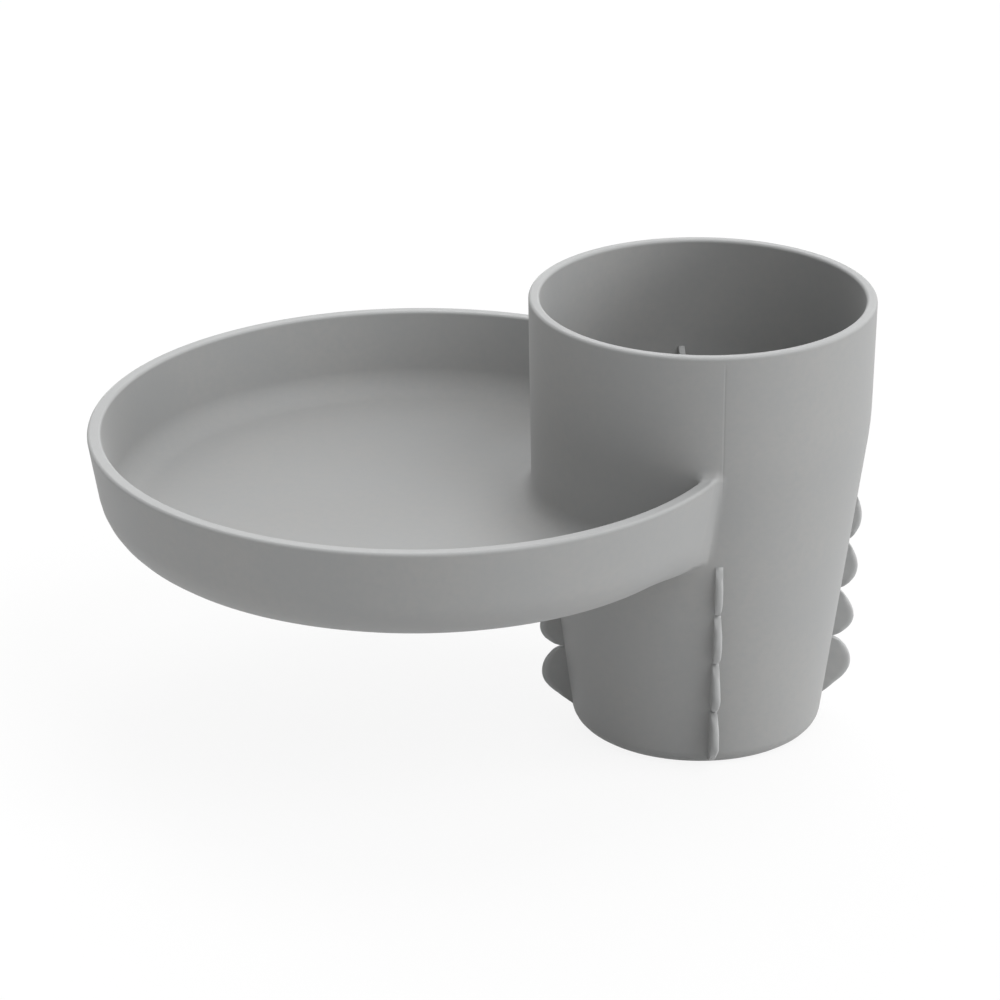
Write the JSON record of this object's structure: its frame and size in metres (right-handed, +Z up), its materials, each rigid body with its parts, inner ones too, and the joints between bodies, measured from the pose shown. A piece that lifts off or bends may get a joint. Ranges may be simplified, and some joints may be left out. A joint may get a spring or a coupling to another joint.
{
  "type": "kids travel tray",
  "caption": "Round food dish moulded onto the side of a tapered cup, whose soft outer fins wedge it in a vehicle's cup holder.",
  "frame": {"origin": "centre of the cup's base, on the face that stands on the floor of a cup holder", "axes": "+Z up along the cup's axis, -X from the cup towards the centre of the dish; the XZ plane is the mirror plane"},
  "size_m": [0.2147, 0.1792, 0.125],
  "materials": {
    "silicone": "matte moulded silicone, grey all through"
  },
  "bodies": {
    "tray": {"cup_shell": "silicone", "tray_dish": "silicone"},
    "grip_fin_end_1": {"grip_fin_end_1": "silicone"},
    "grip_fin_back_1": {"grip_fin_back_1": "silicone"},
    "grip_fin_dish_1": {"grip_fin_dish_1": "silicone"},
    "grip_fin_front_1": {"grip_fin_front_1": "silicone"},
    "grip_fin_end_2": {"grip_fin_end_2": "silicone"},
    "grip_fin_back_2": {"grip_fin_back_2": "silicone"},
    "grip_fin_dish_2": {"grip_fin_dish_2": "silicone"},
    "grip_fin_front_2": {"grip_fin_front_2": "silicone"},
    "grip_fin_end_3": {"grip_fin_end_3": "silicone"},
    "grip_fin_back_3": {"grip_fin_back_3": "silicone"},
    "grip_fin_dish_3": {"grip_fin_dish_3": "silicone"},
    "grip_fin_front_3": {"grip_fin_front_3": "silicone"},
    "grip_fin_end_4": {"grip_fin_end_4": "silicone"},
    "grip_fin_back_4": {"grip_fin_back_4": "silicone"},
    "grip_fin_dish_4": {"grip_fin_dish_4": "silicone"},
    "grip_fin_front_4": {"grip_fin_front_4": "silicone"},
    "cup_fin_end_1": {"cup_fin_end_1": "silicone"},
    "cup_fin_back_1": {"cup_fin_back_1": "silicone"},
    "cup_fin_dish_1": {"cup_fin_dish_1": "silicone"},
    "cup_fin_front_1": {"cup_fin_front_1": "silicone"},
    "cup_fin_end_2": {"cup_fin_end_2": "silicone"},
    "cup_fin_back_2": {"cup_fin_back_2": "silicone"},
    "cup_fin_dish_2": {"cup_fin_dish_2": "silicone"},
    "cup_fin_front_2": {"cup_fin_front_2": "silicone"},
    "cup_fin_end_3": {"cup_fin_end_3": "silicone"},
    "cup_fin_back_3": {"cup_fin_back_3": "silicone"},
    "cup_fin_dish_3": {"cup_fin_dish_3": "silicone"},
    "cup_fin_front_3": {"cup_fin_front_3": "silicone"},
    "cup_fin_end_4": {"cup_fin_end_4": "silicone"},
    "cup_fin_back_4": {"cup_fin_back_4": "silicone"},
    "cup_fin_dish_4": {"cup_fin_dish_4": "silicone"},
    "cup_fin_front_4": {"cup_fin_front_4": "silicone"}
  },
  "joints": [
    {"name": "grip_fin_end_1_fold", "type": "hinge", "parent": "tray", "child": "grip_fin_end_1", "pos_m": [0.04344, 0, 0.05856], "axis": [0.1357, 0, 0.9907], "range_deg": [-35, 35], "stiffness_Nm_per_rad": 0.0072},
    {"name": "grip_fin_back_1_fold", "type": "hinge", "parent": "tray", "child": "grip_fin_back_1", "pos_m": [0, 0.04304, 0.05569], "axis": [0, 0.1357, 0.9907], "range_deg": [-35, 35], "stiffness_Nm_per_rad": 0.0075},
    {"name": "grip_fin_dish_1_fold", "type": "hinge", "parent": "tray", "child": "grip_fin_dish_1", "pos_m": [-0.04344, 0, 0.05856], "axis": [-0.1357, 0, 0.9907], "range_deg": [-35, 35], "stiffness_Nm_per_rad": 0.0072},
    {"name": "grip_fin_front_1_fold", "type": "hinge", "parent": "tray", "child": "grip_fin_front_1", "pos_m": [0, -0.04304, 0.05569], "axis": [0, -0.1357, 0.9907], "range_deg": [-35, 35], "stiffness_Nm_per_rad": 0.0075},
    {"name": "grip_fin_end_2_fold", "type": "hinge", "parent": "tray", "child": "grip_fin_end_2", "pos_m": [0.04145, 0, 0.04404], "axis": [0.1357, 0, 0.9907], "range_deg": [-45, 45], "stiffness_Nm_per_rad": 0.0052},
    {"name": "grip_fin_back_2_fold", "type": "hinge", "parent": "tray", "child": "grip_fin_back_2", "pos_m": [0, 0.04098, 0.04061], "axis": [0, 0.1357, 0.9907], "range_deg": [-45, 45], "stiffness_Nm_per_rad": 0.0054},
    {"name": "grip_fin_dish_2_fold", "type": "hinge", "parent": "tray", "child": "grip_fin_dish_2", "pos_m": [-0.04145, 0, 0.04404], "axis": [-0.1357, 0, 0.9907], "range_deg": [-45, 45], "stiffness_Nm_per_rad": 0.0052},
    {"name": "grip_fin_front_2_fold", "type": "hinge", "parent": "tray", "child": "grip_fin_front_2", "pos_m": [0, -0.04098, 0.04061], "axis": [0, -0.1357, 0.9907], "range_deg": [-45, 45], "stiffness_Nm_per_rad": 0.0054},
    {"name": "grip_fin_end_3_fold", "type": "hinge", "parent": "tray", "child": "grip_fin_end_3", "pos_m": [0.03946, 0, 0.02951], "axis": [0.1357, 0, 0.9907], "range_deg": [-55, 55], "stiffness_Nm_per_rad": 0.0041},
    {"name": "grip_fin_back_3_fold", "type": "hinge", "parent": "tray", "child": "grip_fin_back_3", "pos_m": [0, 0.03891, 0.02554], "axis": [0, 0.1357, 0.9907], "range_deg": [-55, 55], "stiffness_Nm_per_rad": 0.0042},
    {"name": "grip_fin_dish_3_fold", "type": "hinge", "parent": "tray", "child": "grip_fin_dish_3", "pos_m": [-0.03946, 0, 0.02951], "axis": [-0.1357, 0, 0.9907], "range_deg": [-55, 55], "stiffness_Nm_per_rad": 0.0041},
    {"name": "grip_fin_front_3_fold", "type": "hinge", "parent": "tray", "child": "grip_fin_front_3", "pos_m": [0, -0.03891, 0.02554], "axis": [0, -0.1357, 0.9907], "range_deg": [-55, 55], "stiffness_Nm_per_rad": 0.0042},
    {"name": "grip_fin_end_4_fold", "type": "hinge", "parent": "tray", "child": "grip_fin_end_4", "pos_m": [0.03723, 0, 0.01329], "axis": [0.1357, 0, 0.9907], "range_deg": [-65, 65], "stiffness_Nm_per_rad": 0.0041},
    {"name": "grip_fin_back_4_fold", "type": "hinge", "parent": "tray", "child": "grip_fin_back_4", "pos_m": [0, 0.03674, 0.00971], "axis": [0, 0.1357, 0.9907], "range_deg": [-65, 65], "stiffness_Nm_per_rad": 0.0038},
    {"name": "grip_fin_dish_4_fold", "type": "hinge", "parent": "tray", "child": "grip_fin_dish_4", "pos_m": [-0.03723, 0, 0.01329], "axis": [-0.1357, 0, 0.9907], "range_deg": [-65, 65], "stiffness_Nm_per_rad": 0.0041},
    {"name": "grip_fin_front_4_fold", "type": "hinge", "parent": "tray", "child": "grip_fin_front_4", "pos_m": [0, -0.03674, 0.00971], "axis": [0, -0.1357, 0.9907], "range_deg": [-65, 65], "stiffness_Nm_per_rad": 0.0038},
    {"name": "cup_fin_end_1_fold", "type": "hinge", "parent": "tray", "child": "cup_fin_end_1", "pos_m": [0.04147, 0, 0.08659], "axis": [0.1108, 0, 0.9938], "range_deg": [-65, 65], "stiffness_Nm_per_rad": 0.0033},
    {"name": "cup_fin_back_1_fold", "type": "hinge", "parent": "tray", "child": "cup_fin_back_1", "pos_m": [0, 0.04147, 0.08659], "axis": [0, 0.1108, 0.9938], "range_deg": [-65, 65], "stiffness_Nm_per_rad": 0.0033},
    {"name": "cup_fin_dish_1_fold", "type": "hinge", "parent": "tray", "child": "cup_fin_dish_1", "pos_m": [-0.04147, 0, 0.08659], "axis": [-0.1108, 0, 0.9938], "range_deg": [-65, 65], "stiffness_Nm_per_rad": 0.0033},
    {"name": "cup_fin_front_1_fold", "type": "hinge", "parent": "tray", "child": "cup_fin_front_1", "pos_m": [0, -0.04147, 0.08659], "axis": [0, -0.1108, 0.9938], "range_deg": [-65, 65], "stiffness_Nm_per_rad": 0.0033},
    {"name": "cup_fin_end_2_fold", "type": "hinge", "parent": "tray", "child": "cup_fin_end_2", "pos_m": [0.03964, 0, 0.07193], "axis": [0.1357, 0, 0.9907], "range_deg": [-55, 55], "stiffness_Nm_per_rad": 0.0041},
    {"name": "cup_fin_back_2_fold", "type": "hinge", "parent": "tray", "child": "cup_fin_back_2", "pos_m": [0, 0.03964, 0.07193], "axis": [0, 0.1357, 0.9907], "range_deg": [-55, 55], "stiffness_Nm_per_rad": 0.0041},
    {"name": "cup_fin_dish_2_fold", "type": "hinge", "parent": "tray", "child": "cup_fin_dish_2", "pos_m": [-0.03964, 0, 0.07193], "axis": [-0.1357, 0, 0.9907], "range_deg": [-55, 55], "stiffness_Nm_per_rad": 0.0041},
    {"name": "cup_fin_front_2_fold", "type": "hinge", "parent": "tray", "child": "cup_fin_front_2", "pos_m": [0, -0.03964, 0.07193], "axis": [0, -0.1357, 0.9907], "range_deg": [-55, 55], "stiffness_Nm_per_rad": 0.0041},
    {"name": "cup_fin_end_3_fold", "type": "hinge", "parent": "tray", "child": "cup_fin_end_3", "pos_m": [0.03763, 0, 0.05723], "axis": [0.1357, 0, 0.9907], "range_deg": [-45, 45], "stiffness_Nm_per_rad": 0.0052},
    {"name": "cup_fin_back_3_fold", "type": "hinge", "parent": "tray", "child": "cup_fin_back_3", "pos_m": [0, 0.03763, 0.05723], "axis": [0, 0.1357, 0.9907], "range_deg": [-45, 45], "stiffness_Nm_per_rad": 0.0052},
    {"name": "cup_fin_dish_3_fold", "type": "hinge", "parent": "tray", "child": "cup_fin_dish_3", "pos_m": [-0.03763, 0, 0.05723], "axis": [-0.1357, 0, 0.9907], "range_deg": [-45, 45], "stiffness_Nm_per_rad": 0.0052},
    {"name": "cup_fin_front_3_fold", "type": "hinge", "parent": "tray", "child": "cup_fin_front_3", "pos_m": [0, -0.03763, 0.05723], "axis": [0, -0.1357, 0.9907], "range_deg": [-45, 45], "stiffness_Nm_per_rad": 0.0052},
    {"name": "cup_fin_end_4_fold", "type": "hinge", "parent": "tray", "child": "cup_fin_end_4", "pos_m": [0.03562, 0, 0.04253], "axis": [0.1357, 0, 0.9907], "range_deg": [-35, 35], "stiffness_Nm_per_rad": 0.0071},
    {"name": "cup_fin_back_4_fold", "type": "hinge", "parent": "tray", "child": "cup_fin_back_4", "pos_m": [0, 0.03562, 0.04253], "axis": [0, 0.1357, 0.9907], "range_deg": [-35, 35], "stiffness_Nm_per_rad": 0.0071},
    {"name": "cup_fin_dish_4_fold", "type": "hinge", "parent": "tray", "child": "cup_fin_dish_4", "pos_m": [-0.03562, 0, 0.04253], "axis": [-0.1357, 0, 0.9907], "range_deg": [-35, 35], "stiffness_Nm_per_rad": 0.0071},
    {"name": "cup_fin_front_4_fold", "type": "hinge", "parent": "tray", "child": "cup_fin_front_4", "pos_m": [0, -0.03562, 0.04253], "axis": [0, -0.1357, 0.9907], "range_deg": [-35, 35], "stiffness_Nm_per_rad": 0.0071}
  ]
}
